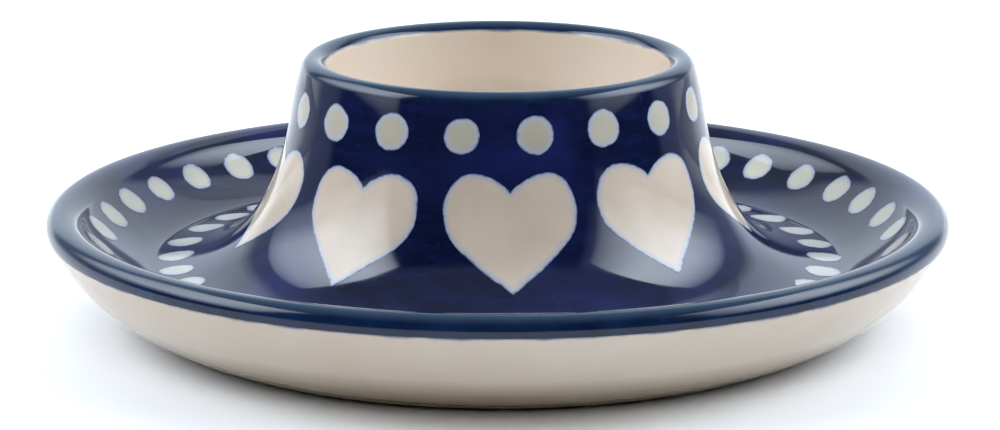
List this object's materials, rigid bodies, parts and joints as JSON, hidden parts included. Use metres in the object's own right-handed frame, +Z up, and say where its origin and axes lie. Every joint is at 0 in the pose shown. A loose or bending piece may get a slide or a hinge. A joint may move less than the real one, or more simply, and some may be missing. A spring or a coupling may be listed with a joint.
{
  "type": "egg cup",
  "caption": "Stoneware egg cup made in one with its saucer, cobalt blue under clear glaze, with pale hearts round the cup and pale dots round cup and saucer.",
  "frame": {"origin": "on the table, under the centre of the foot ring", "axes": "+Z up along the axis of the cup; -Y towards the middle heart in the picture, +X to its right"},
  "size_m": [0.125, 0.125, 0.0371],
  "materials": {
    "bare_clay": "matt",
    "clear_glaze": "gloss",
    "cobalt_glaze": "gloss",
    "edge_glaze": "gloss",
    "mark_glaze": "gloss"
  },
  "bodies": {
    "root": {"egg_bowl": "bare_clay", "cup_wall": "bare_clay", "saucer_plate": "bare_clay", "foot_ring": "bare_clay", "bowl_glaze": "clear_glaze", "cup_lip_band": "edge_glaze", "cup_coat": "cobalt_glaze", "saucer_coat": "cobalt_glaze", "saucer_lip_band": "edge_glaze", "outer_glaze": "clear_glaze", "base_glaze": "clear_glaze", "heart_marks": "mark_glaze", "cup_dot_marks": "mark_glaze", "well_dot_marks": "mark_glaze", "rim_dot_marks": "mark_glaze"}
  },
  "joints": []
}
